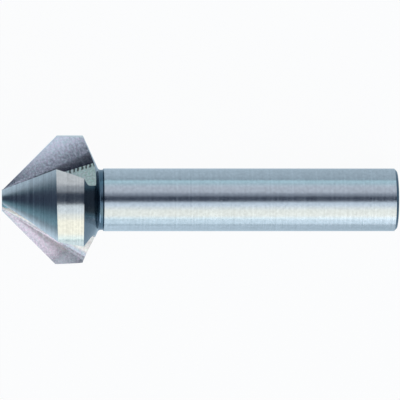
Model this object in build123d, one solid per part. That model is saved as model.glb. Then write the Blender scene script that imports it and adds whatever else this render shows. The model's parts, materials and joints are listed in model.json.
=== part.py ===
from build123d import *
import math
import os

# Three-flute 90 degree countersink bit with a plain cylindrical shank, turned and
# ground as one piece from a bar of high-speed steel. Sizes are in millimetres.
#
# Tool frame: the tip face lies in X = 0, the axis runs along +X to the shank end,
# and angles are counted from +Z towards +Y. The finished bit is then laid down as
# it comes to rest: across one flute at the head, and on the rim of the shank.

# Main sizes
HEAD_DIAMETER = 20.5
SHANK_DIAMETER = 10.0
TOOL_LENGTH = 63.0
TIP_DIAMETER = 3.5
CONE_HALF_ANGLE = 45.0

# Stations along the axis, counted from the tip face
MARGIN_LENGTH = 4.36
SHANK_START = 16.0

# Turned details behind the head
BACK_BEVEL_ANGLE = 24.7
NECK_DIAMETER = 9.6
NECK_FILLET = 0.5
SHANK_REAR_CHAMFER = 0.4

# Relief of the conical lands: each land is part of a cone set off the tool's axis
TOOTH_COUNT = 3
CONE_STOCK = 0.4
RELIEF_OFFSET = 0.345
RELIEF_LEAD = 20.0
TOOTH_EDGE_ANGLE = 26.5
FLUTE_SPLIT_ANGLE = 60.0

# Flutes: across the axis each one is a straight cutting face, a round hollow, a short
# ledge, a flat floor, a round crease and a straight back wall. The walls turn with the
# right-hand twist, and the whole outline opens and rises towards the rear. Each value is
# given where the tip face lies, then as its change per millimetre of axis.
FACE_DIRECTION, FACE_TWIST = 38.0, 0.41
FACE_OFFSET, FACE_DRIFT = 0.61, -0.389
FACE_START, FACE_RISE = 1.52, 0.572
HOLLOW_RADIUS, HOLLOW_GROWTH = 0.25, 0.231
LEDGE_DIRECTION = 0.0
LEDGE_LENGTH, LEDGE_GROWTH = 0.2, 0.164
BACK_DIRECTION, BACK_TWIST = 98.9, -1.165
BACK_OFFSET, BACK_DRIFT = 0.023, -0.108
BACK_START, BACK_RISE = 1.66, 0.505
CREASE_RADIUS, CREASE_GROWTH = 0.5, 0.53
CREASE_TURN, CREASE_TURN_CHANGE = 25.0, -0.35
FLUTE_FRONT = -0.6
FLUTE_REAR = 15.8
FLUTE_REACH = 26.0

HEAD_RADIUS = HEAD_DIAMETER / 2
SHANK_RADIUS = SHANK_DIAMETER / 2
TIP_RADIUS = TIP_DIAMETER / 2
CONE_SLOPE = math.tan(math.radians(CONE_HALF_ANGLE))
CONE_LENGTH = (HEAD_RADIUS - TIP_RADIUS) / CONE_SLOPE
HEAD_REAR = CONE_LENGTH + MARGIN_LENGTH


def unit(angle):
    """Direction across the axis, at an angle counted from +Z towards +Y."""
    return Vector(0, math.sin(math.radians(angle)), math.cos(math.radians(angle)))


def lathe(outline):
    """Solid turned about the X axis from an outline of (station, radius) points."""
    points = [(station, 0, radius) for station, radius in outline]
    return revolve(make_face(Polyline(*points, close=True)), Axis.X, 360)


def turned_blank():
    """The turned bar: cone with stock left on it, margin, bevel, neck and shank."""
    neck_radius = NECK_DIAMETER / 2
    bevel_length = (HEAD_RADIUS - neck_radius) * math.tan(math.radians(BACK_BEVEL_ANGLE))
    outline = [
        (0, 0),
        (0, TIP_RADIUS + CONE_STOCK),
        (CONE_LENGTH - CONE_STOCK / CONE_SLOPE, HEAD_RADIUS),
        (HEAD_REAR, HEAD_RADIUS),
        (HEAD_REAR + bevel_length, neck_radius),
        (SHANK_START, neck_radius),
        (SHANK_START + (SHANK_RADIUS - neck_radius), SHANK_RADIUS),
        (TOOL_LENGTH - SHANK_REAR_CHAMFER, SHANK_RADIUS),
        (TOOL_LENGTH, SHANK_RADIUS - SHANK_REAR_CHAMFER),
        (TOOL_LENGTH, 0),
    ]
    blank = lathe(outline)
    bevel_end = HEAD_REAR + bevel_length
    tolerance = 0.001
    bevel_foot = [
        edge for edge in blank.edges().filter_by(GeomType.CIRCLE)
        if abs(edge.arc_center.X - bevel_end) < tolerance
    ]
    return fillet(bevel_foot, NECK_FILLET)


def land_relief(tooth_angle):
    """What the relief grinding takes off one tooth's third of the cone."""
    clearance = 0.5
    drop = RELIEF_OFFSET * math.cos(math.radians(RELIEF_LEAD))
    front = -clearance
    rear = CONE_LENGTH + 3 * clearance
    land_cone = lathe([
        (front, 0),
        (front, TIP_RADIUS - drop + front * CONE_SLOPE),
        (rear, TIP_RADIUS - drop + rear * CONE_SLOPE),
        (rear, 0),
    ])
    offset = unit(tooth_angle + RELIEF_LEAD) * RELIEF_OFFSET
    land_cone = Pos(offset) * land_cone
    reach = 3 * HEAD_RADIUS
    half_pitch = 180 / TOOTH_COUNT
    sector_middle = tooth_angle - TOOTH_EDGE_ANGLE + FLUTE_SPLIT_ANGLE - half_pitch
    start = Vector(front, 0, 0)
    corners = [start + unit(sector_middle + side * half_pitch) * reach for side in (-1, 1)]
    sector = make_face(Polyline(start, *corners, close=True))
    return extrude(sector, rear - front, dir=(1, 0, 0)) - land_cone


def face_curve(station):
    """Cutting face and hollow at one station: outer end, tangent point, arc middle, ledge."""
    direction = FACE_DIRECTION + FACE_TWIST * station
    radius = HOLLOW_RADIUS + HOLLOW_GROWTH * station
    inward = unit(direction + 90)
    tangent = inward * (FACE_OFFSET + FACE_DRIFT * station)
    tangent += unit(direction) * (FACE_START + FACE_RISE * station)
    centre = tangent + inward * radius
    middle = centre - unit((direction + LEDGE_DIRECTION) / 2 + 90) * radius
    ledge = centre - unit(LEDGE_DIRECTION + 90) * radius
    return tangent + unit(direction) * FLUTE_REACH, tangent, middle, ledge


def back_curve(station):
    """Crease and back wall at one station: crease start, arc middle, tangent point, outer end."""
    direction = BACK_DIRECTION + BACK_TWIST * station
    radius = CREASE_RADIUS + CREASE_GROWTH * station
    turn = CREASE_TURN + CREASE_TURN_CHANGE * station
    inward = unit(direction - 90)
    tangent = inward * -(BACK_OFFSET + BACK_DRIFT * station)
    tangent += unit(direction) * (BACK_START + BACK_RISE * station)
    centre = tangent + inward * radius
    middle = centre - unit(direction - 90 + turn / 2) * radius
    crease = centre - unit(direction - 90 + turn) * radius
    return crease, middle, tangent, tangent + unit(direction) * FLUTE_REACH


def flute_section(station):
    """Closed outline of the wheel's path across the axis, at one station."""
    face_end, face_tangent, hollow, ledge = face_curve(station)
    crease, crease_middle, back_tangent, back_end = back_curve(station)
    corner = ledge - unit(LEDGE_DIRECTION) * (LEDGE_LENGTH + LEDGE_GROWTH * station)
    edges = [
        Line(face_end, face_tangent),
        ThreePointArc(face_tangent, hollow, ledge),
        Line(ledge, corner),
        Line(corner, crease),
        ThreePointArc(crease, crease_middle, back_tangent),
        Line(back_tangent, back_end),
        Line(back_end, face_end),
    ]
    return Pos(X=station) * make_face(Curve() + edges)


def flute_cutter():
    """Body swept by the wheel that grinds one flute, from before the tip to the bevel."""
    return loft([flute_section(FLUTE_FRONT), flute_section(FLUTE_REAR)], ruled=True)


def ground_bit():
    """The blank after its lands are relieved and its flutes are ground."""
    bit = turned_blank()
    pitch = 360 / TOOTH_COUNT
    for tooth in range(TOOTH_COUNT):
        bit -= land_relief(TOOTH_EDGE_ANGLE + tooth * pitch)
    cutter = flute_cutter()
    for flute in range(TOOTH_COUNT):
        bit -= Rot(X=flute * pitch) * cutter
    return bit


def rear_corner_angles(bit):
    """Angles of the two corners that stand beside one flute at the head's rear edge."""
    tolerance = 0.001
    angles = []
    for vertex in bit.vertices():
        at_rear_edge = abs(vertex.X - HEAD_REAR) < tolerance
        on_outside = abs(math.hypot(vertex.Y, vertex.Z) - HEAD_RADIUS) < tolerance
        if at_rear_edge and on_outside:
            angles.append(math.degrees(math.atan2(vertex.Y, vertex.Z)))
    face_corner = max(angle for angle in angles if angle < FLUTE_SPLIT_ANGLE)
    back_corner = min(angle for angle in angles if angle > FLUTE_SPLIT_ANGLE)
    return face_corner, back_corner


def laid_down(bit):
    """Turn one flute straight down, then tilt the axis until the shank's rim touches."""
    face_corner, back_corner = rear_corner_angles(bit)
    half_width = (back_corner - face_corner) / 2
    half_pitch = 180 / TOOTH_COUNT
    roll = half_pitch - (face_corner + half_width)
    head_height = HEAD_RADIUS * math.cos(math.radians(half_width))
    rim_station = TOOL_LENGTH - SHANK_REAR_CHAMFER
    tilt = math.degrees(math.atan((head_height - SHANK_RADIUS) / (rim_station - HEAD_REAR)))
    resting = Rot(Y=tilt) * Rot(X=-roll) * bit
    box = resting.bounding_box()
    return Pos(-box.center().X, -box.center().Y, -box.min.Z) * resting


bit = laid_down(ground_bit())
os.makedirs("parts", exist_ok=True)
export_step(bit, "parts/countersink_bit.step")
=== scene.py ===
import json
import math

import bpy
import numpy as np
from bpy.props import (
    FloatProperty,
    FloatVectorProperty,
    IntProperty,
    PointerProperty,
)
from bpy.types import Operator, Panel, PropertyGroup
from mathutils import Matrix, Vector


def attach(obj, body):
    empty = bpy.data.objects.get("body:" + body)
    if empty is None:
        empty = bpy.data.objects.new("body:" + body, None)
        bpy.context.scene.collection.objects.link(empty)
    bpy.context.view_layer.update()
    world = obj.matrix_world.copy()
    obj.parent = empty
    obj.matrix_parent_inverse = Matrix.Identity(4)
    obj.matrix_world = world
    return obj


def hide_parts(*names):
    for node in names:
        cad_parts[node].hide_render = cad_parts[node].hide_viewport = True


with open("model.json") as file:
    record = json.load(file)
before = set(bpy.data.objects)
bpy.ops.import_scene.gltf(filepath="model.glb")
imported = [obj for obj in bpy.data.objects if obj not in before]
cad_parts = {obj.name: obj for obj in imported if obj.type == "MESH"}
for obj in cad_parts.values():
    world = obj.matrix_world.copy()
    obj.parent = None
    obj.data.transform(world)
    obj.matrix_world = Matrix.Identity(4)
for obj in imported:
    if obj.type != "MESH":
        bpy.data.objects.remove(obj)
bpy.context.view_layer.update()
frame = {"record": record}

bl_info = {
    "name": "Countersink bit",
    "version": (1, 0, 0),
    "blender": (4, 5, 0),
    "location": "View3D > Sidebar > Countersink",
    "description": "Builds a ground three-flute countersink bit and a lit stage for it",
    "category": "Object",
}

# Inside the file, sections are worked out in millimetres in the tool's own frame: the tip
# face lies at station 0, the axis runs along +X, and angles go from +Z towards +Y.
MM = 0.001

RELIEF_OFFSET = 0.345
RELIEF_LEAD = 20.0
TOOTH_EDGE_ANGLE = 26.5

# The wheel's path across the axis: value at the tip face, then change per millimetre.
FACE_DIRECTION = (38.0, 0.41)
FACE_OFFSET = (0.61, -0.389)
FACE_RUN = (1.52, 0.572)
FACE_ARC_RADIUS = (0.25, 0.231)
LEDGE_DIRECTION = (0.0, 0.0)
LEDGE_LENGTH = (0.2, 0.164)
BACK_DIRECTION = (98.9, -1.165)
BACK_OFFSET = (0.023, -0.108)
BACK_RUN = (1.66, 0.505)
BACK_ARC_RADIUS = (0.5, 0.53)
BACK_ARC_TURN = (25.0, -0.35)
PATH_FRONT = -0.6
PATH_REAR = 15.8
PATH_REACH = 26.0

# How far the head and the shank's end lie inside their sizes, so that no point of the round
# surfaces stands outside the faceted CAD solid's box, in mm
INSET = 0.0015

# Finishes, as face numbers on the mesh
LAND, MARGIN, FLUTE, BEVEL, NECK, SHANK, END = range(7)


def linear(code):
    """A colour written as sRGB hex, as linear red, green and blue."""
    parts = [int(code[i:i + 2], 16) / 255 for i in (1, 3, 5)]
    return tuple(p / 12.92 if p <= 0.04045 else ((p + 0.055) / 1.055) ** 2.4 for p in parts)


# What all colours and all shares have in common as properties
COLOUR = {"size": 3, "min": 0.0, "max": 1.0, "subtype": "COLOR"}
SHARE = {"min": 0.0, "max": 1.0, "subtype": "FACTOR"}


class ToolSizes(PropertyGroup):
    """The main sizes of the bit."""

    head_diameter: FloatProperty(
        name="Head diameter", description="Diameter over the cylindrical margin",
        default=0.0205, min=0.001, unit="LENGTH", precision=4)
    shank_diameter: FloatProperty(
        name="Shank diameter", description="Diameter of the ground shank",
        default=0.010, min=0.001, unit="LENGTH", precision=4)
    tool_length: FloatProperty(
        name="Length", description="From the tip face to the end of the shank",
        default=0.063, min=0.01, unit="LENGTH", precision=4)
    tip_diameter: FloatProperty(
        name="Tip diameter", description="Diameter of the flat at the small end of the cone",
        default=0.0035, min=0.0005, unit="LENGTH", precision=4)
    margin_length: FloatProperty(
        name="Margin length", description="Length of the cylindrical part of the head",
        default=0.00436, min=0.0, unit="LENGTH", precision=5)
    shank_start: FloatProperty(
        name="Shank start", description="Station where the neck meets the shank",
        default=0.016, min=0.0, unit="LENGTH", precision=4)
    bevel_angle: FloatProperty(
        name="Back bevel", description="Angle of the head's rear face to a plane across the axis",
        default=math.radians(24.7), subtype="ANGLE")
    neck_diameter: FloatProperty(
        name="Neck diameter", description="Diameter of the turned neck",
        default=0.0096, min=0.001, unit="LENGTH", precision=4)
    neck_fillet: FloatProperty(
        name="Neck fillet", description="Radius where the back bevel meets the neck",
        default=0.0005, min=0.0001, unit="LENGTH", precision=5)
    end_chamfer: FloatProperty(
        name="End chamfer", description="Chamfer at the free end of the shank",
        default=0.0004, min=0.0, unit="LENGTH", precision=5)
    tooth_count: IntProperty(
        name="Teeth", description="Number of cutting edges and flutes",
        default=3, min=1, max=12)


class SteelLook(PropertyGroup):
    """Colours and roughness of the ground steel."""

    steel: FloatVectorProperty(
        name="Ground steel", description="Reflectance of freshly ground high-speed steel",
        default=linear("#CFD1D3"), **COLOUR)
    flute_steel: FloatVectorProperty(
        name="Flute steel", description="Reflectance inside the flutes",
        default=linear("#D8DEDD"), **COLOUR)
    flute_tint: FloatVectorProperty(
        name="Flute tint", description="Reflectance of the warmer specks inside the flutes",
        default=linear("#E6D9E0"), **COLOUR)
    margin_steel: FloatVectorProperty(
        name="Margin steel", description="Reflectance of the margin, a little warmer than the rest",
        default=linear("#E2DED6"), **COLOUR)
    # The bevel's dark bluish colour is a painted dark reflection of the shaded floor and shank, not
    # the steel's own tone
    bevel_painted_reflection: FloatVectorProperty(
        name="Bevel, painted reflection", description="Reflectance of the back bevel, dark and bluish",
        default=linear("#5B6F7C"), **COLOUR)
    # The neck's and end chamfer's dark bluish colour is painted shade from the bevel and shank, not
    # the steel's own tone
    neck_painted_shade: FloatVectorProperty(
        name="Neck, painted shade", description="Reflectance of the neck and end chamfer, dark and bluish",
        default=linear("#617684"), **COLOUR)
    bevel_roughness: FloatProperty(
        name="Turned roughness", description="Roughness of the turned bevel",
        default=0.15, **SHARE)
    neck_roughness: FloatProperty(
        name="Neck roughness", description="Roughness of the turned neck and end chamfer",
        default=0.25, **SHARE)
    shank_roughness: FloatProperty(
        name="Shank roughness", description="Roughness of the ground shank",
        default=0.22, **SHARE)
    margin_roughness: FloatProperty(
        name="Margin roughness", description="Roughness of the margin and the lands",
        default=0.175, **SHARE)
    flute_roughness: FloatProperty(
        name="Flute roughness", description="Roughness of the flute walls",
        default=0.21, **SHARE)


class StageLook(PropertyGroup):
    """The floor, the lights and the surroundings. Most are tinted, and the steel mirrors that."""

    floor: FloatVectorProperty(
        name="Floor", description="Colour of the floor",
        default=linear("#CEE7FA"), **COLOUR)
    mirrored_floor: FloatVectorProperty(
        name="Floor in metal", description="Colour of the floor where bare metal mirrors it",
        default=linear("#DAF0FF"), **COLOUR)
    # The floor's glow in metal is a painted pool of light round the bit; this is how far it reaches
    painted_pool_reach: FloatProperty(
        name="Painted pool reach", description="Distance over which the floor in metal falls to half",
        default=0.06, min=0.01, unit="LENGTH")
    surroundings: FloatVectorProperty(
        name="Surroundings", description="Colour of the dark ends of the room",
        default=linear("#303C52"), **COLOUR)
    walls: FloatVectorProperty(
        name="Walls", description="Colour of the room's side walls",
        default=linear("#99D0E2"), **COLOUR)
    key: FloatVectorProperty(
        name="Key light", description="Colour of the large soft light",
        default=linear("#E1F1FF"), **COLOUR)
    core: FloatVectorProperty(
        name="Key core", description="Colour of the large light's warmer middle",
        default=linear("#FFE16F"), **COLOUR)
    low: FloatVectorProperty(
        name="Low light", description="Colour of the soft light low down beside the bit",
        default=linear("#FFEFF6"), **COLOUR)
    fill: FloatVectorProperty(
        name="Fill light", description="Colour of the dimmer soft lights",
        default=linear("#E1EFFF"), **COLOUR)
    right: FloatVectorProperty(
        name="Shank-end light", description="Colour of the soft light towards the shank's end",
        default=linear("#F3F9FF"), **COLOUR)
    view_distance: FloatProperty(
        name="View distance", description="Distance of the camera from the bit",
        default=0.670, min=0.05, unit="LENGTH")
    view_width: FloatProperty(
        name="View width", description="Width of the view at the bit",
        default=0.0638, min=0.01, unit="LENGTH", precision=4)


def add_node(tree, kind, settings=None, inputs=None):
    """Add a node, set its options, and set or link its inputs by name or number."""
    node = tree.nodes.new(kind)
    for name, value in (settings or {}).items():
        setattr(node, name, value)
    for name, value in (inputs or {}).items():
        socket = node.inputs[name]
        if isinstance(value, bpy.types.NodeSocket):
            tree.links.new(value, socket)
        else:
            socket.default_value = value
    return node


def sizes_in_mm(sizes):
    """The tool's sizes in millimetres, with the ones that follow from them."""
    s = {
        "head": sizes.head_diameter / MM / 2 - INSET,
        "shank": sizes.shank_diameter / MM / 2,
        "length": sizes.tool_length / MM - INSET,
        "tip": sizes.tip_diameter / MM / 2,
        "neck": sizes.neck_diameter / MM / 2,
        "fillet": sizes.neck_fillet / MM,
        "end_chamfer": sizes.end_chamfer / MM,
        "shank_start": sizes.shank_start / MM,
        "bevel": math.tan(sizes.bevel_angle),
        "bevel_angle": sizes.bevel_angle,
        "teeth": sizes.tooth_count,
    }
    s["cone"] = s["head"] - s["tip"]
    s["rear"] = s["cone"] + sizes.margin_length / MM
    s["foot"] = s["rear"] + (s["head"] - s["neck"]) * s["bevel"]
    return s


def at(law, station):
    """A value that changes evenly along the axis."""
    return law[0] + law[1] * station


def unit(angle):
    """Direction across the axis, as its parts towards angle 0 and towards angle 90."""
    angle = np.radians(angle)
    return np.stack([np.cos(angle), np.sin(angle)], -1)


def path_points(station, q):
    """Points of the wheel's outline at one station. q runs 0 to 1 along the cutting face, to 2
    round the face arc, to 3 along the ledge, to 4 along the floor, to 5 round the back arc and
    to 6 outwards along the back wall."""
    face, back = at(FACE_DIRECTION, station), at(BACK_DIRECTION, station)
    ledge = at(LEDGE_DIRECTION, station)
    radius, back_radius = at(FACE_ARC_RADIUS, station), at(BACK_ARC_RADIUS, station)
    back_turn = at(BACK_ARC_TURN, station)
    face_tangent = unit(face + 90) * at(FACE_OFFSET, station) + unit(face) * at(FACE_RUN, station)
    face_centre = face_tangent + unit(face + 90) * radius
    back_tangent = unit(back + 90) * at(BACK_OFFSET, station) + unit(back) * at(BACK_RUN, station)
    back_centre = back_tangent + unit(back - 90) * back_radius
    q = np.asarray(q, float)
    t = np.clip(q[..., None] - np.arange(6), 0, 1)
    face_arc = face_centre - radius * unit(face + 90 + (ledge - face) * t[..., 1])
    ledge_start = face_centre - radius * unit(ledge + 90)
    corner = ledge_start - unit(ledge) * at(LEDGE_LENGTH, station)
    crease = back_centre - back_radius * unit(back - 90 + back_turn)
    back_arc = back_centre - back_radius * unit(back - 90 + back_turn * (1 - t[..., 4]))
    lines = [
        face_tangent + unit(face) * PATH_REACH * (1 - t[..., 0:1]),
        face_arc,
        ledge_start + (corner - ledge_start) * t[..., 2:3],
        corner + (crease - corner) * t[..., 3:4],
        back_arc,
        back_tangent + unit(back) * PATH_REACH * t[..., 5:6]]
    part = np.clip(np.floor(q), 0, 5).astype(int)
    return np.choose(part[..., None], lines)


def flute_points(station, q):
    """Points of the flute's surface: the wheel's first and last outlines, joined straight."""
    share = ((np.asarray(station, float) - PATH_FRONT) / (PATH_REAR - PATH_FRONT))[..., None]
    return (1 - share) * path_points(PATH_FRONT, q) + share * path_points(PATH_REAR, q)


def relief_radius(s, station, angle):
    """Radius of the relieved conical land, limited by the margin."""
    off = np.radians(angle - TOOTH_EDGE_ANGLE - RELIEF_LEAD)
    cone = s["tip"] - RELIEF_OFFSET * math.cos(math.radians(RELIEF_LEAD)) + station
    radius = RELIEF_OFFSET * np.cos(off) + np.sqrt(cone ** 2 - (RELIEF_OFFSET * np.sin(off)) ** 2)
    return np.minimum(radius, s["head"])


def bevel_radius(s, station):
    """Radius of the back bevel."""
    return s["head"] - (station - s["rear"]) / s["bevel"]


def polar(points):
    """Radius and angle in degrees."""
    radius = np.hypot(points[..., 0], points[..., 1])
    return radius, np.degrees(np.arctan2(points[..., 1], points[..., 0]))


# Both ends of the wheel's outline and the middle of its floor, as q
OUTLINE_START, MID_FLOOR, OUTLINE_END = 0.0, 3.5, 6.0
# Stations in the table of the flute's edges, and halvings of each search
EDGE_STATIONS, HALVINGS = 500, 60


def edge_tables(s):
    """Where the flute's walls meet the head's outside: stations, q and angle of both edges."""
    pitch = 360 / s["teeth"]
    station = np.linspace(0, s["rear"], EDGE_STATIONS)
    found = []
    for outer, shift in ((OUTLINE_START, 0.0), (OUTLINE_END, pitch)):
        low, high = np.full_like(station, outer), np.full_like(station, MID_FLOOR)
        for _ in range(HALVINGS):
            q = (low + high) / 2
            radius, angle = polar(flute_points(station, q))
            outside = radius > relief_radius(s, station, angle - shift)
            low, high = np.where(outside, q, low), np.where(outside, high, q)
        found += [q, polar(flute_points(station, q))[1]]
    return (station, *found)


def exit_stations(s, q):
    """Stations where the flute's surface, followed along the axis, leaves the back bevel."""
    low, high = np.full_like(q, s["rear"]), np.full_like(q, s["foot"])
    for _ in range(HALVINGS):
        middle = (low + high) / 2
        inside = polar(flute_points(middle, q))[0] < bevel_radius(s, middle)
        low, high = np.where(inside, middle, low), np.where(inside, high, middle)
    return (low + high) / 2


class Patch:
    """Collects the vertices and faces of one tooth pitch of the bit, patch by patch."""

    def __init__(self):
        self.points, self.faces, self.finish, self.lines = [], [], [], []
        self.count = 0

    def grid(self, station, u, v, across, finish):
        """A grid of faces. The finish lines' map holds the station and across, both in mm."""
        rows, columns = station.shape
        self.points.append(np.stack([station, v, u], -1).reshape(-1, 3))
        index = self.count + np.arange(rows * columns).reshape(rows, columns)
        quads = np.stack([index[:-1, :-1], index[1:, :-1], index[1:, 1:], index[:-1, 1:]], -1)
        self.faces += quads.reshape(-1, 4).tolist()
        marks = np.broadcast_to(np.asarray(finish), (rows - 1, columns - 1))
        self.finish += marks.reshape(-1).tolist()
        at_points = np.stack([station, across], -1).reshape(-1, 2)
        self.lines.append(at_points[quads.reshape(-1) - self.count])
        self.count += rows * columns

    def turned(self, station, radius, angle, arc_radius, finish):
        """A grid of faces on a round surface, at angles in degrees."""
        angle = np.radians(angle)
        u, v = radius * np.cos(angle), radius * np.sin(angle)
        self.grid(station, u, v, angle * arc_radius, finish)

    def face(self, points, finish):
        """One flat face with many sides."""
        points = np.asarray(points, float)
        self.points.append(points)
        self.faces.append(list(range(self.count, self.count + len(points))))
        self.finish.append(finish)
        self.lines.append(points[:, 1:])
        self.count += len(points)


LAND_COLUMNS = 44
FACE_COLUMNS, FACE_ARC_COLUMNS, LEDGE_COLUMNS = 6, 12, 6
FLOOR_COLUMNS, BACK_ARC_COLUMNS, BACK_COLUMNS = 36, 10, 6
FLUTE_COLUMNS = (FACE_COLUMNS + FACE_ARC_COLUMNS + LEDGE_COLUMNS
                 + FLOOR_COLUMNS + BACK_ARC_COLUMNS + BACK_COLUMNS)
CONE_ROWS, MARGIN_ROWS, RUN_OUT_ROWS, BEVEL_ROWS, FILLET_ROWS = 36, 16, 12, 12, 8
SHANK_ROWS, END_ROWS = 24, 8
# How far the bevel's lines spread at its foot on each side of a flute's floor, in degrees
FOOT_LEAD, FOOT_TRAIL = 22.0, 13.0
# Rounds that settle the cone's corner along a land, and the q of a flute's columns
CORNER_ROUNDS, COLUMN_ROUNDS = 30, 2
# Least width of a stretch of q that another is divided by
LEAST_STRETCH = 1e-9


def flute_columns(q_face, q_back):
    """q of each flute column, between the two edges, with columns on every corner."""
    parts = [
        (q_face, 1.0, FACE_COLUMNS), (1.0, 2.0, FACE_ARC_COLUMNS), (2.0, 3.0, LEDGE_COLUMNS),
        (3.0, 4.0, FLOOR_COLUMNS), (4.0, 5.0, BACK_ARC_COLUMNS), (5.0, q_back, BACK_COLUMNS)]
    columns = [q_face[..., None]]
    for start, end, count in parts:
        start = np.broadcast_to(np.maximum(start, q_face), q_face.shape)
        end = np.broadcast_to(np.minimum(end, q_back), q_face.shape)
        steps = np.arange(1, count + 1) / count
        columns.append(start[..., None] + (end - start)[..., None] * steps)
    return np.concatenate(columns, -1)


def lengths_across(points):
    """Distance in mm along each row of flute points, counted from the crease."""
    steps = np.hypot(*np.moveaxis(np.diff(points, axis=1), -1, 0))
    lengths = np.concatenate([np.zeros((len(points), 1)), np.cumsum(steps, axis=1)], axis=1)
    crease = FACE_COLUMNS + FACE_ARC_COLUMNS + LEDGE_COLUMNS + FLOOR_COLUMNS
    return lengths - lengths[:, crease:crease + 1]


def head_patch(patch, s, table):
    """Conical land, margin and flute of one pitch, from the tip face to the rear edge."""
    station, q_face, face_angle, q_back, back_angle = table
    pitch = 360 / s["teeth"]

    def corner_station(angle):
        off = np.radians(angle - TOOTH_EDGE_ANGLE - RELIEF_LEAD)
        cone = np.sqrt(s["head"] ** 2 - 2 * s["head"] * RELIEF_OFFSET * np.cos(off)
                       + RELIEF_OFFSET ** 2)
        return cone - s["tip"] + RELIEF_OFFSET * math.cos(math.radians(RELIEF_LEAD))

    share = np.linspace(0, 1, LAND_COLUMNS + 1)
    corner = np.full(LAND_COLUMNS + 1, s["cone"])
    for _ in range(CORNER_ROUNDS):
        heel = np.interp(corner, station, back_angle) - pitch
        cut = np.interp(corner, station, face_angle)
        corner = corner_station(heel + (cut - heel) * share)
    flute_share = np.linspace(0, 1, FLUTE_COLUMNS + 1)
    flute_corner = corner[-1] + (corner[0] - corner[-1]) * flute_share
    steps = np.linspace(0, 1, CONE_ROWS + 1)[:, None]
    rear_steps = np.linspace(0, 1, MARGIN_ROWS + 1)[1:, None]

    def rows(corners):
        return np.concatenate([steps * corners, corners + rear_steps * (s["rear"] - corners)])

    at_station = rows(corner)
    heel = np.interp(at_station, station, back_angle) - pitch
    cut = np.interp(at_station, station, face_angle)
    angle = heel + (cut - heel) * share
    radius = relief_radius(s, at_station, angle)
    radius[CONE_ROWS:] = s["head"]
    finish = np.full((CONE_ROWS + MARGIN_ROWS, 1), LAND)
    finish[CONE_ROWS:] = MARGIN
    patch.turned(at_station, radius, angle, s["head"], finish)

    at_station = rows(flute_corner)
    columns = flute_columns(
        np.interp(at_station[:, 0], station, q_face), np.interp(at_station[:, 0], station, q_back))
    for _ in range(COLUMN_ROUNDS):
        # each column has its own stations, so the edges' q are read at those
        face_q = np.interp(at_station, station, q_face)
        back_q = np.interp(at_station, station, q_back)
        first, last = columns[:, :1], columns[:, -1:]
        face_stretch = np.maximum(1 - first, LEAST_STRETCH)
        back_stretch = np.maximum(last - 5, LEAST_STRETCH)
        columns = np.where(
            columns < 1, 1 - (1 - columns) * (1 - face_q) / face_stretch, columns)
        columns = np.where(
            columns > 5, 5 + (columns - 5) * (back_q - 5) / back_stretch, columns)
    points = flute_points(at_station, columns)
    patch.grid(at_station, points[..., 0], points[..., 1], lengths_across(points), FLUTE)
    return angle[0], columns[0], angle[-1], columns[-1]


def tip_patch(patch, s, land_angle, flute_q):
    """The third of the tip face that belongs to one pitch, from mid-land to mid-land."""
    pitch = 360 / s["teeth"]
    middle = len(land_angle) // 2

    def rim(angle, shift):
        radius, turn = relief_radius(s, 0.0, angle - shift), math.radians(angle)
        return 0, radius * math.sin(turn), radius * math.cos(turn)

    outline = [rim(angle, 0) for angle in land_angle[middle:]]
    flute = flute_points(np.zeros(len(flute_q)), flute_q)[1:-1]
    outline += [(0, point[1], point[0]) for point in flute]
    outline += [rim(angle, pitch) for angle in land_angle[:middle + 1] + pitch]
    outline.append((0, 0, 0))
    patch.face(outline, END)


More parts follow.
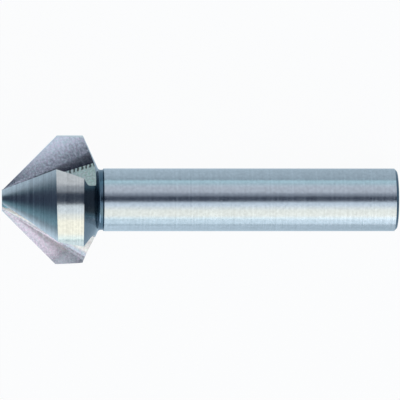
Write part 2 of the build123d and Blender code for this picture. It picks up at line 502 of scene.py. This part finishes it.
def rear_patch(patch, s, land_angle, flute_q):
    """Flute run-out, back bevel, fillet, neck, shank and end face of one pitch."""
    pitch = 360 / s["teeth"]
    leaves = exit_stations(s, flute_q)
    steps = np.linspace(0, 1, RUN_OUT_ROWS + 1)[:, None]
    at_station = s["rear"] + steps * (leaves - s["rear"])
    q = np.broadcast_to(flute_q, at_station.shape)
    points = flute_points(at_station, q)
    patch.grid(at_station, points[..., 0], points[..., 1], lengths_across(points), FLUTE)

    exit_angle = polar(points[-1])[1]
    top_station = np.concatenate([np.full(len(land_angle), s["rear"]), leaves[1:]])
    top_angle = np.concatenate([land_angle, exit_angle[1:]])
    corner, crease = np.interp((3.0, 4.0), flute_q, exit_angle)
    lead, trail = corner - FOOT_LEAD, crease + FOOT_TRAIL
    low_angle = np.concatenate([
        np.linspace(trail - pitch, lead, len(land_angle)),
        np.linspace(lead, corner, FACE_COLUMNS + FACE_ARC_COLUMNS + LEDGE_COLUMNS + 1)[1:],
        np.linspace(corner, crease, FLOOR_COLUMNS + 1)[1:],
        np.linspace(crease, trail, BACK_ARC_COLUMNS + BACK_COLUMNS + 1)[1:]])
    turn = math.pi / 2 - s["bevel_angle"]
    cut_back = s["fillet"] * math.tan(turn / 2)
    low_station = s["foot"] - cut_back * math.sin(s["bevel_angle"])
    steps = np.linspace(0, 1, BEVEL_ROWS + 1)[:, None]
    at_station = top_station + steps * (low_station - top_station)
    angle = top_angle + steps * (low_angle - top_angle)
    patch.turned(at_station, bevel_radius(s, at_station), angle, s["head"], BEVEL)

    fillet_end = s["foot"] + cut_back
    bend = np.linspace(0, turn, FILLET_ROWS + 1)
    fillet = [
        (fillet_end - s["fillet"] * math.sin(turn - a),
         s["neck"] + s["fillet"] * (1 - math.cos(turn - a)))
        for a in bend]
    rise = s["shank"] - s["neck"]
    neck = [(fillet_end, s["neck"]), (s["shank_start"], s["neck"]),
            (s["shank_start"] + rise, s["shank"])]
    last = s["length"] - s["end_chamfer"]
    shank = [(x, s["shank"]) for x in np.linspace(s["shank_start"] + rise, last, SHANK_ROWS + 1)]
    face = s["shank"] - s["end_chamfer"]
    end = [(s["length"], face * (1 - t)) for t in np.linspace(0, 1, END_ROWS + 1)]
    for outline, finish in ((fillet, NECK), (neck, NECK), (shank, SHANK),
                            ([shank[-1], end[0]], NECK), (end, END)):
        outline = np.array(outline)
        shape = (len(outline), len(low_angle))
        at_station = np.broadcast_to(outline[:, :1], shape)
        radius = np.broadcast_to(outline[:, 1:], shape)
        angle = np.broadcast_to(low_angle, shape)
        patch.turned(at_station, radius, angle, s["shank"], finish)


def tooth_pitch_mesh(s):
    """One tooth pitch of the whole bit as a mesh, in metres, in the tool's own frame."""
    patch = Patch()
    table = edge_tables(s)
    tip_angle, tip_q, rear_angle, rear_q = head_patch(patch, s, table)
    tip_patch(patch, s, tip_angle, tip_q)
    rear_patch(patch, s, rear_angle, rear_q)
    mesh = bpy.data.meshes.new("tooth_pitch")
    mesh.from_pydata((np.concatenate(patch.points) * MM).tolist(), [], patch.faces)
    finish = mesh.attributes.new("finish", "INT", "FACE")
    finish.data.foreach_set("value", np.array(patch.finish, np.int32))
    lines = mesh.uv_layers.new(name="finish_lines", do_init=False)
    lines.uv.foreach_set("vector", np.concatenate(patch.lines).astype(np.float32).ravel())
    mesh.update()
    return mesh, table


def rest_turns(s, table):
    """Roll and tilt that lay the bit on two rear corners of one flute and its shank's rim."""
    _, _, face_angle, _, back_angle = table
    half_width = (back_angle[-1] - face_angle[-1]) / 2
    roll = 180 / s["teeth"] - (face_angle[-1] + half_width)
    height = s["head"] * math.cos(math.radians(half_width))
    tilt = math.atan((height - s["shank"]) / (s["length"] - s["end_chamfer"] - s["rear"]))
    return math.radians(roll), tilt


def tool_to_world(roll, tilt):
    """Matrix from the tool's frame to the rest pose, seated on the shank's stated end."""
    turn = Matrix.Rotation(tilt, 4, "Y") @ Matrix.Rotation(-roll, 4, "X")
    mounts = {m["name"]: m for m in frame["record"]["mounts"]}
    end = Vector(mounts["shank_end"]["pos_m"])
    length = bpy.context.scene.tool_sizes.tool_length
    return Matrix.Translation(end - turn @ Vector((length, 0, 0))) @ turn


def pitch_tree(materials):
    """Geometry Nodes: repeats one tooth pitch round the axis, welds it, lays it at rest and
    gives each finish its material."""
    tree = bpy.data.node_groups.new("Repeat tooth pitch", "GeometryNodeTree")
    face = tree.interface
    for name, kind, default in (
            ("Tooth Pitch", "NodeSocketGeometry", None),
            ("Tooth Count", "NodeSocketInt", 3),
            ("Weld Distance", "NodeSocketFloat", 2e-6),
            ("Sharp Angle", "NodeSocketFloat", math.radians(22)),
            ("Roll", "NodeSocketFloat", 0.0),
            ("Tilt", "NodeSocketFloat", 0.0),
            ("Tip Place", "NodeSocketVector", (0, 0, 0))):
        socket = face.new_socket(name, in_out="INPUT", socket_type=kind)
        if default is not None:
            socket.default_value = default
    face.new_socket("Bit", in_out="OUTPUT", socket_type="NodeSocketGeometry")
    given = add_node(tree, "NodeGroupInput").outputs
    points = add_node(tree, "GeometryNodeMeshLine", inputs={
        "Count": given["Tooth Count"], "Offset": (0, 0, 0)})
    index = add_node(tree, "GeometryNodeInputIndex")
    step = add_node(tree, "ShaderNodeMath", {"operation": "DIVIDE"}, {
        0: 2 * math.pi, 1: given["Tooth Count"]})
    turn = add_node(tree, "ShaderNodeMath", {"operation": "MULTIPLY"}, {
        0: index.outputs[0], 1: step.outputs[0]})
    turns = add_node(tree, "ShaderNodeCombineXYZ", inputs={"X": turn.outputs[0]})
    copies = add_node(tree, "GeometryNodeInstanceOnPoints", inputs={
        "Points": points.outputs[0], "Instance": given["Tooth Pitch"],
        "Rotation": turns.outputs[0]})
    numbered = add_node(tree, "GeometryNodeStoreNamedAttribute", {
        "data_type": "FLOAT", "domain": "INSTANCE"}, {
        "Geometry": copies.outputs[0], "Name": "tooth", "Value": index.outputs[0]})
    real = add_node(tree, "GeometryNodeRealizeInstances", inputs={
        "Geometry": numbered.outputs[0]})
    welded = add_node(tree, "GeometryNodeMergeByDistance", inputs={
        "Geometry": real.outputs[0], "Distance": given["Weld Distance"]})
    smooth = add_node(tree, "GeometryNodeSetShadeSmooth", {"domain": "FACE"}, {
        "Geometry": welded.outputs[0], "Shade Smooth": True})
    bend = add_node(tree, "GeometryNodeInputMeshEdgeAngle")
    sharp = add_node(tree, "FunctionNodeCompare", {
        "data_type": "FLOAT", "operation": "GREATER_THAN"}, {
        0: bend.outputs["Unsigned Angle"], 1: given["Sharp Angle"]})
    edged = add_node(tree, "GeometryNodeSetShadeSmooth", {"domain": "EDGE"}, {
        "Geometry": smooth.outputs[0], "Selection": sharp.outputs[0], "Shade Smooth": False})
    back_roll = add_node(tree, "ShaderNodeMath", {"operation": "MULTIPLY"}, {
        0: given["Roll"], 1: -1.0})
    roll = add_node(tree, "ShaderNodeCombineXYZ", inputs={"X": back_roll.outputs[0]})
    rolled = add_node(tree, "GeometryNodeTransform", inputs={
        "Geometry": edged.outputs[0], "Rotation": roll.outputs[0]})
    tilt = add_node(tree, "ShaderNodeCombineXYZ", inputs={"Y": given["Tilt"]})
    placed = add_node(tree, "GeometryNodeTransform", inputs={
        "Geometry": rolled.outputs[0], "Rotation": tilt.outputs[0],
        "Translation": given["Tip Place"]})
    finish = add_node(tree, "GeometryNodeInputNamedAttribute", {"data_type": "INT"}, {
        "Name": "finish"})
    made = placed.outputs[0]
    for number, material in enumerate(materials):
        chosen = add_node(tree, "FunctionNodeCompare", {
            "data_type": "INT", "operation": "GREATER_EQUAL"}, {
            2: finish.outputs["Attribute"], 3: number})
        made = add_node(tree, "GeometryNodeSetMaterial", inputs={
            "Geometry": made, "Selection": chosen.outputs[0],
            "Material": material}).outputs[0]
    add_node(tree, "NodeGroupOutput", inputs={0: made})
    return tree


def plain_mesh_object(source, name):
    """The evaluated source as a plain mesh object; the source and its modifier go."""
    bpy.context.view_layer.update()
    graph = bpy.context.evaluated_depsgraph_get()
    mesh = bpy.data.meshes.new_from_object(source.evaluated_get(graph), depsgraph=graph)
    mesh.name = name
    bpy.data.objects.remove(source)
    made = bpy.data.objects.new(name, mesh)
    bpy.context.scene.collection.objects.link(made)
    return made


def new_material(name):
    """An empty node material with its output, and its tree."""
    material = bpy.data.materials.new(name)
    material.use_nodes = True
    material.node_tree.nodes.clear()
    return material, material.node_tree


# The part of a noise's range that holds nearly all of its values
NOISE_RANGE = {"From Min": 0.3, "From Max": 0.7}
# How far roughness follows a pattern, as shares of its middle value
SMOOTHER, ROUGHER = 0.85, 1.15


def tones(tree, noises):
    """The product of noises, each spread over its own darkest and brightest tone."""
    tone = 1.0
    for noise, low, high in noises:
        ranged = add_node(tree, "ShaderNodeMapRange", inputs={
            "Value": noise, **NOISE_RANGE, "To Min": low, "To Max": high})
        tone = add_node(tree, "ShaderNodeMath", {"operation": "MULTIPLY"}, {
            0: tone, 1: ranged.outputs[0]}).outputs[0]
    return tone


def bare_steel(tree, colour, tone, pattern, roughness, normal):
    """Bare steel, a full metal with the default IOR. Its roughness follows a pattern."""
    shade = add_node(tree, "ShaderNodeMix", {"data_type": "RGBA", "blend_type": "MULTIPLY"}, {
        0: 1.0, 6: colour, 7: tone})
    dulled = add_node(tree, "ShaderNodeMapRange", inputs={
        "Value": pattern, **NOISE_RANGE,
        "To Min": roughness * SMOOTHER, "To Max": roughness * ROUGHER})
    shader = add_node(tree, "ShaderNodeBsdfPrincipled", inputs={
        "Base Color": shade.outputs[2], "Metallic": 1.0, "Roughness": dulled.outputs[0],
        "Normal": normal})
    add_node(tree, "ShaderNodeOutputMaterial", inputs={"Surface": shader.outputs[0]})


def tool_coordinates(tree, roll, tilt):
    """Object coordinates turned so that X runs along the tool's axis."""
    place = add_node(tree, "ShaderNodeTexCoord")
    level = add_node(tree, "ShaderNodeMapping", {"vector_type": "TEXTURE"}, {
        "Vector": place.outputs["Object"],
        "Location": tool_to_world(roll, tilt).translation,
        "Rotation": (0.0, tilt, 0.0)})
    return level.outputs[0]


def ground_lines(tree, coordinates, spacing, wander, detail=2.0):
    """Noise drawn out round the axis: lines about spacing apart along it, in metres."""
    stretched = add_node(tree, "ShaderNodeMapping", inputs={
        "Vector": coordinates, "Scale": (1 / spacing, 1 / wander, 1 / wander)})
    noise = add_node(tree, "ShaderNodeTexNoise", inputs={
        "Vector": stretched.outputs[0], "Scale": 1.0, "Detail": detail, "Roughness": 0.6})
    return noise.outputs["Fac"]


# Round-ground finishes: spacing of the lines and depth of the bump, in metres, and the tone of
# the darkest line. Real lines are some hundredths of a millimetre apart, too fine to show, so
# they are drawn this coarse.
LAND_LINES = (0.00022, 0.000005, 0.76)
MARGIN_LINES = (0.00025, 0.0000015, 0.84)
TURNED_LINES = (0.0003, 0.000003, 0.86)
SHANK_LINES = (0.0003, 0.000002, 0.90)
END_LINES = (0.0003, 0.000002, 0.86)
# How far a line wanders round the axis; soft patches along and round it; and shallow dimples
# with their depth, all in metres
LINE_RUN = 0.020
PATCH_LENGTH, PATCH_RUN = 0.004, 0.006
DIMPLE, DIMPLE_DEPTH = 0.0005, 0.0000018
# Darkest tone of a patch, and darkest and brightest tone of a dimple
PATCH_LOW, DIMPLE_LOW, DIMPLE_HIGH = 0.96, 0.93, 1.04


def round_ground(name, colour, roughness, roll, tilt, spacing, depth, low_tone):
    """Ground or turned high-speed steel, with fine lines round the axis."""
    material, tree = new_material(name)
    place = tool_coordinates(tree, roll, tilt)
    lines = ground_lines(tree, place, spacing, LINE_RUN)
    patches = ground_lines(tree, place, PATCH_LENGTH, PATCH_RUN)
    dimples = add_node(tree, "ShaderNodeTexNoise", inputs={
        "Vector": place, "Scale": 1 / DIMPLE, "Detail": 1.0, "Roughness": 0.5}).outputs["Fac"]
    height = add_node(tree, "ShaderNodeMath", {"operation": "MULTIPLY_ADD"}, {
        0: dimples, 1: DIMPLE_DEPTH / depth, 2: lines})
    bump = add_node(tree, "ShaderNodeBump", inputs={
        "Height": height.outputs[0], "Strength": 1.0, "Distance": depth})
    tone = tones(tree, (
        (lines, low_tone, 1.0), (patches, PATCH_LOW, 1.0), (dimples, DIMPLE_LOW, DIMPLE_HIGH)))
    bare_steel(tree, (*colour, 1.0), tone, lines, roughness, bump.outputs[0])
    return material


# Flute patterns on Object coordinates, in metres: mottling, grain of the tint, depth of bump.
# Like the lines, they are coarser than a wheel's real marks, so that they show.
FLUTE_MOTTLE, FLUTE_GRAIN, FLUTE_BUMP = 0.0004, 0.0003, 0.000005
# Flute lines on the flute's own map, in mm: their length along the axis and their spacing
LINE_LENGTH, LINE_SPACING = 3.0, 0.15
# Darkest tone of the mottling and of the lines, and how much the lines add to the bump
MOTTLE_LOW, LINE_LOW, LINE_BUMP = 0.74, 0.90, 0.4
# Short marks before the crease. In mm: their pitch and its wander, and where they begin and
# are full, across the flute and along the axis. Then how soft and how dark they are.
MARK_PITCH, MARK_WANDER = 0.64, 0.5
MARK_EDGE, MARK_BODY = -0.80, -0.50
MARK_BEGIN, MARK_FULL = 9.5, 11.0
MARK_SOFTNESS, MARK_DARKNESS = 0.4, 0.8
# Painted shade in a band beyond the crease, wider towards the rear: slopes across over along where
# it ends and is full, and darkness
CREASE_SHADE_EDGE, CREASE_SHADE_BODY, CREASE_SHADE_DARKNESS = 0.15, 0.10, 0.48


def flute_ground(name, cool, warm, roughness):
    """Ground flute steel: mottled, with lines along the flute, painted shade in a band on one side
    of the crease and a row of short dark marks on the other."""
    material, tree = new_material(name)
    place = add_node(tree, "ShaderNodeTexCoord")
    mottle = add_node(tree, "ShaderNodeTexNoise", inputs={
        "Vector": place.outputs["Object"], "Scale": 1 / FLUTE_MOTTLE, "Detail": 1.5,
        "Roughness": 0.5}).outputs["Fac"]
    # the map counts millimetres along the axis and across the flute from the crease
    lines_map = add_node(tree, "ShaderNodeUVMap", {"uv_map": "finish_lines"})
    stretched = add_node(tree, "ShaderNodeMapping", inputs={
        "Vector": lines_map.outputs[0], "Scale": (1 / LINE_LENGTH, 1 / LINE_SPACING, 1.0)})
    lines = add_node(tree, "ShaderNodeTexNoise", inputs={
        "Vector": stretched.outputs[0], "Scale": 1.0, "Detail": 2.0}).outputs["Fac"]
    parts = add_node(tree, "ShaderNodeSeparateXYZ", inputs={0: lines_map.outputs[0]})
    wander = add_node(tree, "ShaderNodeMath", {"operation": "MULTIPLY_ADD"}, {
        0: mottle, 1: MARK_WANDER, 2: parts.outputs["X"]})
    turns = add_node(tree, "ShaderNodeMath", {"operation": "MULTIPLY"}, {
        0: wander.outputs[0], 1: 2 * math.pi / MARK_PITCH})
    beat = add_node(tree, "ShaderNodeMath", {"operation": "SINE"}, {0: turns.outputs[0]})
    dashes = add_node(tree, "ShaderNodeMapRange", {"interpolation_type": "SMOOTHSTEP"}, {
        "Value": beat.outputs[0], "From Min": -MARK_SOFTNESS, "From Max": MARK_SOFTNESS})
    depth = add_node(tree, "ShaderNodeMapRange", {"interpolation_type": "SMOOTHSTEP"}, {
        "Value": parts.outputs["Y"], "From Min": MARK_EDGE, "From Max": MARK_BODY})
    end = add_node(tree, "ShaderNodeMath", {"operation": "LESS_THAN"}, {
        0: parts.outputs["Y"], 1: 0.0})
    rearward = add_node(tree, "ShaderNodeMapRange", {"interpolation_type": "SMOOTHSTEP"}, {
        "Value": parts.outputs["X"], "From Min": MARK_BEGIN, "From Max": MARK_FULL})
    marks = dashes.outputs[0]
    for part in (depth, end, rearward):
        marks = add_node(tree, "ShaderNodeMath", {"operation": "MULTIPLY"}, {
            0: marks, 1: part.outputs[0]}).outputs[0]
    # painted shade in the crease: a band beyond it that widens as the flute deepens towards the
    # rear
    ratio = add_node(tree, "ShaderNodeMath", {"operation": "DIVIDE"}, {
        0: parts.outputs["Y"], 1: parts.outputs["X"]})
    near_crease = add_node(tree, "ShaderNodeMapRange", {"interpolation_type": "SMOOTHSTEP"}, {
        "Value": ratio.outputs[0], "From Min": CREASE_SHADE_EDGE, "From Max": CREASE_SHADE_BODY})
    beyond = add_node(tree, "ShaderNodeMath", {"operation": "GREATER_THAN"}, {
        0: parts.outputs["Y"], 1: 0.0})
    crease_shade = add_node(tree, "ShaderNodeMath", {"operation": "MULTIPLY"}, {
        0: near_crease.outputs[0], 1: beyond.outputs[0]})
    marked = add_node(tree, "ShaderNodeMath", {"operation": "MULTIPLY_ADD"}, {
        0: marks, 1: -MARK_DARKNESS, 2: 1.0})
    marks_and_shade = add_node(tree, "ShaderNodeMath", {"operation": "MULTIPLY_ADD"}, {
        0: crease_shade.outputs[0], 1: -CREASE_SHADE_DARKNESS, 2: marked.outputs[0]})
    height = add_node(tree, "ShaderNodeMath", {"operation": "MULTIPLY_ADD"}, {
        0: lines, 1: LINE_BUMP, 2: mottle})
    bump = add_node(tree, "ShaderNodeBump", inputs={
        "Height": height.outputs[0], "Strength": 1.0, "Distance": FLUTE_BUMP})
    tone = add_node(tree, "ShaderNodeMath", {"operation": "MULTIPLY"}, {
        0: tones(tree, ((mottle, MOTTLE_LOW, 1.0), (lines, LINE_LOW, 1.0))),
        1: marks_and_shade.outputs[0]})
    grain = add_node(tree, "ShaderNodeTexNoise", inputs={
        "Vector": place.outputs["Object"], "Scale": 1 / FLUTE_GRAIN, "Detail": 1.0})
    warmth = add_node(tree, "ShaderNodeMapRange", inputs={
        "Value": grain.outputs["Fac"], **NOISE_RANGE, "To Min": 0.0, "To Max": 1.0})
    tint = add_node(tree, "ShaderNodeMix", {"data_type": "RGBA"}, {
        0: warmth.outputs[0], 6: (*cool, 1.0), 7: (*warm, 1.0)})
    bare_steel(tree, tint.outputs[2], tone.outputs[0], mottle, roughness, bump.outputs[0])
    return material


# Fewest faces that the whole bit can have
FEWEST_FACES = 1000


class COUNTERSINK_OT_bit(Operator):
    """Build the ground bit, one tooth pitch repeated round the axis"""

    bl_idname = "countersink.bit"
    bl_label = "Build the bit"

    def execute(self, context):
        s = sizes_in_mm(context.scene.tool_sizes)
        look = context.scene.steel_look
        mesh, table = tooth_pitch_mesh(s)
        roll, tilt = rest_turns(s, table)
        materials = [
            round_ground("Relief-ground high-speed steel", look.steel,
                         look.margin_roughness, roll, tilt, *LAND_LINES),
            round_ground("Cylindrically ground high-speed steel margin", look.margin_steel,
                         look.margin_roughness, roll, tilt, *MARGIN_LINES),
            flute_ground("Flute-ground high-speed steel", look.flute_steel,
                         look.flute_tint, look.flute_roughness),
            # the bevel's dark colour is a painted reflection; the neck's and end chamfer's dark
            # colour is painted shade
            round_ground("Painted-reflection turned high-speed steel", look.bevel_painted_reflection,
                         look.bevel_roughness, roll, tilt, *TURNED_LINES),
            round_ground("Painted-shade turned high-speed steel", look.neck_painted_shade,
                         look.neck_roughness, roll, tilt, *TURNED_LINES),
            round_ground("Cylindrically ground high-speed steel shank", look.steel,
                         look.shank_roughness, roll, tilt, *SHANK_LINES),
            round_ground("Face-ground high-speed steel", look.steel,
                         look.flute_roughness, roll, tilt, *END_LINES)]
        pitch = bpy.data.objects.new("tooth_pitch", mesh)
        context.scene.collection.objects.link(pitch)
        tree = pitch_tree(materials)
        modifier = pitch.modifiers.new("Repeat", "NODES")
        modifier.node_group = tree
        values = {
            "Tooth Count": s["teeth"], "Roll": roll, "Tilt": tilt,
            "Tip Place": tool_to_world(roll, tilt).translation}
        for item in tree.interface.items_tree:
            if item.in_out == "INPUT" and item.name in values:
                modifier[item.identifier] = values[item.name]
        bit = plain_mesh_object(pitch, "ground_countersink_bit")
        if len(bit.data.polygons) < FEWEST_FACES:
            raise RuntimeError("the repeated tooth pitch came out empty")
        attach(bit, "root")
        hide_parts("countersink_bit")
        return {"FINISHED"}


def soft_light(name, centre, direction, along, width, length, colour, radiance):
    """A rectangular soft light that faces the centre; its length runs along."""
    data = bpy.data.lights.new(name, "AREA")
    data.shape = "RECTANGLE"
    data.size, data.size_y = length, width
    data.color = colour[:3]
    data.energy = radiance * math.pi * length * width
    light = bpy.data.objects.new(name, data)
    z = direction.normalized()
    x = (along - along.dot(z) * z).normalized()
    turn = Matrix((x, z.cross(x), z)).transposed().to_4x4()
    light.matrix_world = Matrix.Translation(centre + direction) @ turn
    bpy.context.scene.collection.objects.link(light)


# Half the floor's side, the middle of the pool of light painted on it where metal mirrors it, and
# the floor's glow in metal near that and far off; places are in metres
FLOOR_HALF = 3.0
PAINTED_POOL_CENTRE = (-0.06, -0.07, 0.0)
PAINTED_POOL_STRENGTH, FAR_GLOW_STRENGTH = 2.15, 0.10
# How much of the floor is its own glow, towards the camera and in bare metal
CAMERA_SHARE, METAL_SHARE = 0.95, 0.8


def pale_board(look):
    """Matt pale board. Towards the camera and in bare metal most of it is its own glow; in bare
    metal that glow is a painted pool of light round the bit.
    """
    material, tree = new_material("Matt pale board")
    paper = add_node(tree, "ShaderNodeBsdfDiffuse", inputs={"Color": (*look.floor, 1.0)})
    seen = add_node(tree, "ShaderNodeEmission", inputs={
        "Color": (1, 1, 1, 1), "Strength": 1.0})
    # in metal the floor glows with a painted pool of light round the bit, fading to the dim room
    # further off
    spot = add_node(tree, "ShaderNodeTexCoord")
    distance = add_node(tree, "ShaderNodeVectorMath", {"operation": "DISTANCE"}, {
        0: spot.outputs["Object"], 1: PAINTED_POOL_CENTRE})
    further = add_node(tree, "ShaderNodeMath", {"operation": "ADD"}, {
        0: distance.outputs["Value"], 1: look.painted_pool_reach})
    pool_fading = add_node(tree, "ShaderNodeMath", {"operation": "DIVIDE"}, {
        0: PAINTED_POOL_STRENGTH * look.painted_pool_reach, 1: further.outputs[0]})
    strength = add_node(tree, "ShaderNodeMath", {"operation": "ADD"}, {
        0: pool_fading.outputs[0], 1: FAR_GLOW_STRENGTH})
    mirrored = add_node(tree, "ShaderNodeEmission", inputs={
        "Color": (*look.mirrored_floor, 1.0), "Strength": strength.outputs[0]})
    rays = add_node(tree, "ShaderNodeLightPath")
    share = add_node(tree, "ShaderNodeMath", {"operation": "MULTIPLY"}, {
        0: rays.outputs["Is Camera Ray"], 1: CAMERA_SHARE})
    in_metal = add_node(tree, "ShaderNodeMath", {"operation": "MAXIMUM"}, {
        0: rays.outputs["Is Glossy Ray"], 1: rays.outputs["Is Transmission Ray"]})
    metal_share = add_node(tree, "ShaderNodeMath", {"operation": "MULTIPLY"}, {
        0: in_metal.outputs[0], 1: METAL_SHARE})
    behind = add_node(tree, "ShaderNodeMixShader", inputs={
        0: metal_share.outputs[0], 1: paper.outputs[0], 2: mirrored.outputs[0]})
    mixed = add_node(tree, "ShaderNodeMixShader", inputs={
        0: share.outputs[0], 1: behind.outputs[0], 2: seen.outputs[0]})
    add_node(tree, "ShaderNodeOutputMaterial", inputs={"Surface": mixed.outputs[0]})
    return material


# The room's walls: how much the far side counts, how they darken upwards, and where on the
# ramp they have their full colour
FAR_WALL, WALL_FALL, WALL_FULL = 0.6, -1.2, 0.5


def dim_room(look):
    """A room with tinted side walls, dark above and at its ends, and white to the camera."""
    world = bpy.data.worlds.new("Dim room")
    world.use_nodes = True
    room = world.node_tree
    room.nodes.clear()
    outlook = add_node(room, "ShaderNodeTexCoord")
    parts = add_node(room, "ShaderNodeSeparateXYZ", inputs={0: outlook.outputs["Generated"]})
    near_side = add_node(room, "ShaderNodeMath", {"operation": "MULTIPLY"}, {
        0: parts.outputs["Y"], 1: -1.0})
    far_side = add_node(room, "ShaderNodeMath", {"operation": "MULTIPLY"}, {
        0: parts.outputs["Y"], 1: FAR_WALL})
    sideways = add_node(room, "ShaderNodeMath", {"operation": "MAXIMUM"}, {
        0: near_side.outputs[0], 1: far_side.outputs[0]})
    raised = add_node(room, "ShaderNodeMath", {"operation": "MAXIMUM"}, {
        0: parts.outputs["Z"], 1: 0.0})
    low_down = add_node(room, "ShaderNodeMath", {"operation": "MULTIPLY_ADD"}, {
        0: raised.outputs[0], 1: WALL_FALL, 2: sideways.outputs[0]})
    walls = add_node(room, "ShaderNodeValToRGB", inputs={0: low_down.outputs[0]})
    ramp = walls.color_ramp
    ramp.elements[0].position, ramp.elements[0].color = 0.0, (*look.surroundings, 1.0)
    ramp.elements[1].position, ramp.elements[1].color = WALL_FULL, (*look.walls, 1.0)
    dim = add_node(room, "ShaderNodeBackground", inputs={
        "Color": walls.outputs[0], "Strength": 1.0})
    white = add_node(room, "ShaderNodeBackground", inputs={
        "Color": (1, 1, 1, 1), "Strength": 1.0})
    rays = add_node(room, "ShaderNodeLightPath")
    mixed = add_node(room, "ShaderNodeMixShader", inputs={
        0: rays.outputs["Is Camera Ray"], 1: dim.outputs[0], 2: white.outputs[0]})
    add_node(room, "ShaderNodeOutputWorld", inputs={"Surface": mixed.outputs[0]})
    return world


# Station that the lights face and station that the camera is aimed at, how far below the axis
# it is aimed, in metres, and how far it is turned off square, in degrees
LIT_STATION, AIM_STATION, AIM_DROP = 0.030, 0.03156, 0.00003
CAMERA_YAW = 2.9


class COUNTERSINK_OT_stage(Operator):
    """Set the floor, the soft lights, the surroundings and the camera"""

    bl_idname = "countersink.stage"
    bl_label = "Set the stage"

    def execute(self, context):
        scene, look = context.scene, context.scene.stage_look
        s = sizes_in_mm(scene.tool_sizes)
        roll, tilt = rest_turns(s, edge_tables(s))
        place = tool_to_world(roll, tilt)
        turn = place.to_3x3()
        axis = turn @ Vector((1, 0, 0))
        middle = place @ Vector((LIT_STATION, 0, 0))

        def across(angle):
            angle = math.radians(angle)
            return turn @ Vector((0, math.sin(angle), math.cos(angle)))

        floor_mesh = bpy.data.meshes.new("floor")
        corners = [(x * FLOOR_HALF, y * FLOOR_HALF, 0)
                   for x, y in ((-1, -1), (1, -1), (1, 1), (-1, 1))]
        floor_mesh.from_pydata(corners, [], [(0, 1, 2, 3)])
        floor = bpy.data.objects.new("floor", floor_mesh)
        scene.collection.objects.link(floor)
        floor_mesh.materials.append(pale_board(look))

        def panel(name, lean, angle, lean_half, angle_half, colour, radiance,
                  spin=0.0, reach=0.5):
            """A soft light seen from the bit between lean and angle limits, in degrees."""
            lean_rad, spin = math.radians(lean), math.radians(spin)
            direction = math.sin(lean_rad) * axis + math.cos(lean_rad) * across(angle)
            along = math.cos(spin) * axis + math.sin(spin) * across(angle + 90)
            length = 2 * reach * math.tan(math.radians(lean_half))
            width = 2 * reach * math.tan(math.radians(angle_half))
            soft_light(name, middle, direction * reach, along, width, length, colour, radiance)

        # lean and angle of the middle, half the spans of both, colour and radiance; lights that
        # overlap lie at different reaches, so that none hides another
        panel("Key", 14, -42, 24, 34.5, look.key, 1.15)
        panel("Key middle", 14, -50, 24, 26, look.core, 0.22, reach=0.47)
        panel("Key core", 14, -50, 24, 16, look.core, 0.22, reach=0.46)
        panel("Key side", 14, -90, 24, 13, look.low, 0.58, reach=0.45)
        panel("Low side", 24.5, -86, 12, 22, look.low, 1.9, reach=1.3)
        panel("Fill", 11, 53, 27, 28, look.right, 0.40)
        panel("Fill core", 11, 35, 27, 22, look.fill, 0.40, reach=0.47)
        panel("Right", 31, 8, 9, 20, look.right, 0.60)
        panel("Left", -40, -14, 16, 17, look.fill, 1.35, 29)
        panel("Far side", -28, 72, 11, 9, look.core, 0.22)

        scene.world = dim_room(look)

        yaw = math.radians(CAMERA_YAW)
        facing = (math.cos(yaw) * across(0) - math.sin(yaw) * axis).normalized()
        right = (math.cos(yaw) * axis + math.sin(yaw) * across(0)).normalized()
        upward = facing.cross(right)
        data = bpy.data.cameras.new("Camera")
        data.lens = data.sensor_width * look.view_distance / look.view_width
        camera = bpy.data.objects.new("Camera", data)
        aim = place @ Vector((AIM_STATION, 0, 0)) - upward * AIM_DROP
        basis = Matrix((right, upward, facing)).transposed().to_4x4()
        camera.matrix_world = Matrix.Translation(aim + facing * look.view_distance) @ basis
        scene.collection.objects.link(camera)
        scene.camera = camera
        scene.view_settings.view_transform = "Standard"
        return {"FINISHED"}


class COUNTERSINK_PT_panel(Panel):
    """Sizes, finishes and stage of the countersink bit"""

    bl_idname = "COUNTERSINK_PT_panel"
    bl_label = "Countersink bit"
    bl_space_type = "VIEW_3D"
    bl_region_type = "UI"
    bl_category = "Countersink"

    def draw(self, context):
        layout = self.layout
        layout.use_property_split = True
        for group in (context.scene.tool_sizes, context.scene.steel_look,
                      context.scene.stage_look):
            box = layout.box()
            for name in group.__annotations__:
                box.prop(group, name)
        layout.operator(COUNTERSINK_OT_bit.bl_idname)
        layout.operator(COUNTERSINK_OT_stage.bl_idname)


CLASSES = (ToolSizes, SteelLook, StageLook, COUNTERSINK_OT_bit, COUNTERSINK_OT_stage,
           COUNTERSINK_PT_panel)


def register():
    for cls in CLASSES:
        bpy.utils.register_class(cls)
    bpy.types.Scene.tool_sizes = PointerProperty(type=ToolSizes)
    bpy.types.Scene.steel_look = PointerProperty(type=SteelLook)
    bpy.types.Scene.stage_look = PointerProperty(type=StageLook)


def unregister():
    del bpy.types.Scene.stage_look
    del bpy.types.Scene.steel_look
    del bpy.types.Scene.tool_sizes
    for cls in reversed(CLASSES):
        bpy.utils.unregister_class(cls)


def main():
    """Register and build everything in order."""
    register()
    bpy.ops.countersink.bit()
    bpy.ops.countersink.stage()


if __name__ == "__main__":
    main()
